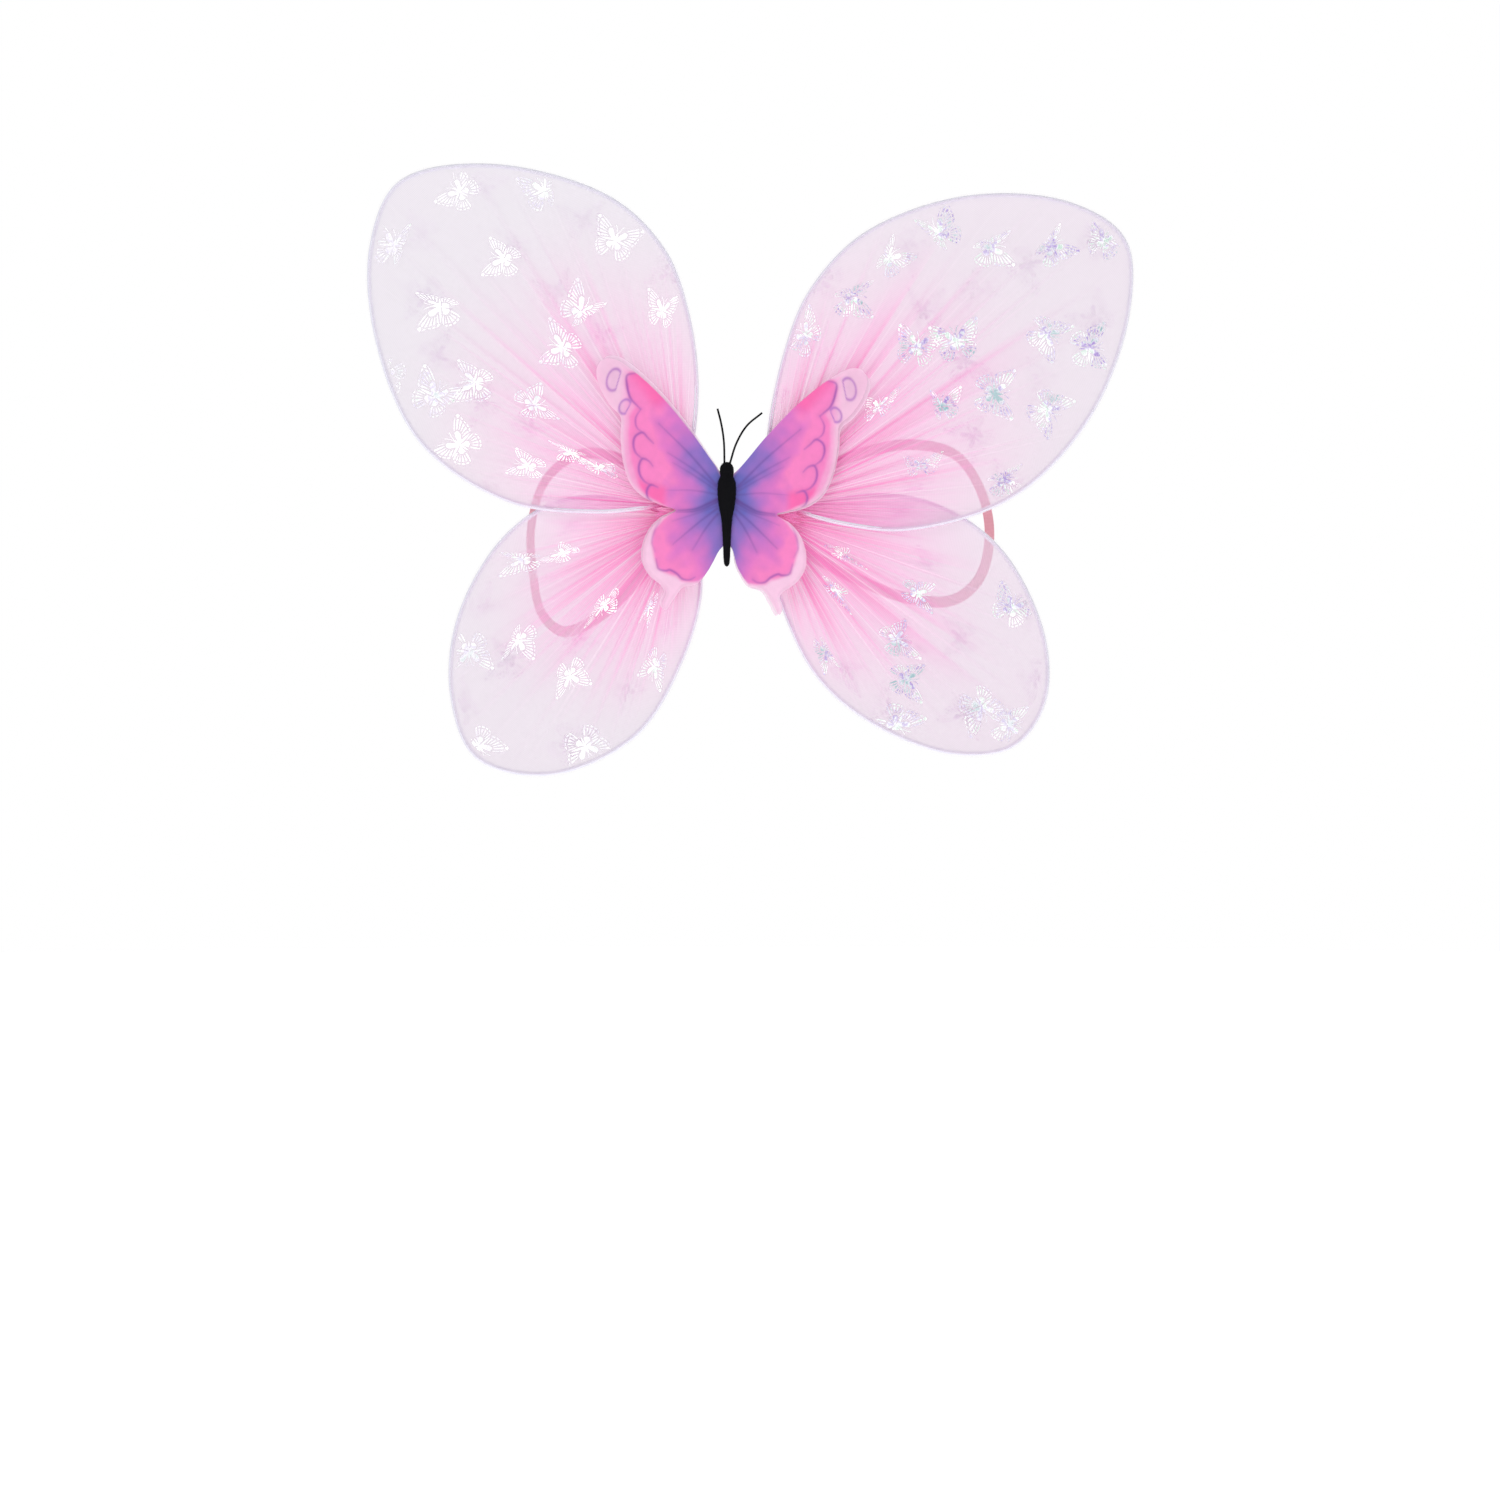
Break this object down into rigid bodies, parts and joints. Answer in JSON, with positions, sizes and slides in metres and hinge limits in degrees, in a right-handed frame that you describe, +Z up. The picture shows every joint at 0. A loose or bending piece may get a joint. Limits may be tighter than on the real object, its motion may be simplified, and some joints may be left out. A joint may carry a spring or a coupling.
{
  "type": "fairy wings",
  "caption": "Child's butterfly wings: tulle-covered wire lobes round a fabric butterfly, with elastic arm loops on a back pad.",
  "frame": {"origin": "centre of the back pad's face that rests on the wearer's back", "axes": "+Z up, +Y towards the wearer, +X to the right of someone looking at the wings from behind the wearer"},
  "size_m": [0.4035, 0.0752, 0.3227],
  "materials": {
    "wire": "white-lilac sheath on a steel wire",
    "tulle": "sheer tulle, hot pink at the roots fading to clear",
    "thread": "wound thread and tape",
    "felt": "felt",
    "stiffener": "thin plastic sheet",
    "elastic": "flat braided elastic, coral pink",
    "print": "printed satin, pink to purple to blue",
    "organza": "pale sheer organza",
    "flock": "black flock",
    "foil": "iridescent transfer foil"
  },
  "bodies": {
    "centre": {"back_pad": "felt", "centre_plate": "stiffener", "centre_binding": "thread", "applique_base": "felt", "print_centre": "print", "butterfly_body": "flock", "antenna_left": "flock", "antenna_right": "flock"},
    "side_left": {"side_binding_left": "thread"},
    "side_right": {"side_binding_right": "thread"},
    "lobe_upper_left": {"upper_left_wire": "wire", "upper_left_cover_front": "tulle", "upper_left_cover_rear": "tulle", "upper_left_gather_binding": "thread"},
    "lobe_upper_right": {"upper_right_wire": "wire", "upper_right_cover_front": "tulle", "upper_right_cover_rear": "tulle", "upper_right_gather_binding": "thread"},
    "lobe_lower_left": {"lower_left_wire": "wire", "lower_left_cover_front": "tulle", "lower_left_cover_rear": "tulle", "lower_left_gather_binding": "thread"},
    "lobe_lower_right": {"lower_right_wire": "wire", "lower_right_cover_front": "tulle", "lower_right_cover_rear": "tulle", "lower_right_gather_binding": "thread"},
    "applique_left": {"organza_wing_left": "organza", "print_wing_left": "print"},
    "loop_left": {"strap_left": "elastic"},
    "applique_right": {"organza_wing_right": "organza", "print_wing_right": "print"},
    "loop_right": {"strap_right": "elastic"}
  },
  "joints": [
    {"name": "fold_left", "type": "hinge", "parent": "centre", "child": "side_left", "pos_m": [-0.012, -0.0096, 0], "axis": [0, 0, 1], "range_deg": [0, 50]},
    {"name": "applique_bend_left", "type": "hinge", "parent": "centre", "child": "applique_left", "pos_m": [-0.0055, -0.017, 0], "axis": [0, 0, 1], "range_deg": [0, 50]},
    {"name": "spread_upper_left", "type": "hinge", "parent": "side_left", "child": "lobe_upper_left", "pos_m": [-0.02, -0.01205, 0], "axis": [0, -1, 0], "range_deg": [-4, 8]},
    {"name": "spread_lower_left", "type": "hinge", "parent": "side_left", "child": "lobe_lower_left", "pos_m": [-0.02, -0.00715, 0], "axis": [0, 1, 0], "range_deg": [-4, 6]},
    {"name": "loop_swing_left", "type": "hinge", "parent": "centre", "child": "loop_left", "pos_m": [-0.0245, -0.0028, 0], "axis": [0, 0, -1], "range_deg": [-8, 40]},
    {"name": "fold_right", "type": "hinge", "parent": "centre", "child": "side_right", "pos_m": [0.012, -0.0096, 0], "axis": [0, 0, -1], "range_deg": [0, 50]},
    {"name": "applique_bend_right", "type": "hinge", "parent": "centre", "child": "applique_right", "pos_m": [0.0055, -0.017, 0], "axis": [0, 0, -1], "range_deg": [0, 50]},
    {"name": "spread_upper_right", "type": "hinge", "parent": "side_right", "child": "lobe_upper_right", "pos_m": [0.02, -0.01205, 0], "axis": [0, 1, 0], "range_deg": [-4, 8]},
    {"name": "spread_lower_right", "type": "hinge", "parent": "side_right", "child": "lobe_lower_right", "pos_m": [0.02, -0.00715, 0], "axis": [0, -1, 0], "range_deg": [-4, 6]},
    {"name": "loop_swing_right", "type": "hinge", "parent": "centre", "child": "loop_right", "pos_m": [0.0245, -0.0028, 0], "axis": [0, 0, 1], "range_deg": [-8, 40]}
  ],
  "couplings": [
    {"joint": "applique_bend_left", "follows": "fold_left", "ratio": 1},
    {"joint": "applique_bend_right", "follows": "fold_right", "ratio": 1}
  ]
}
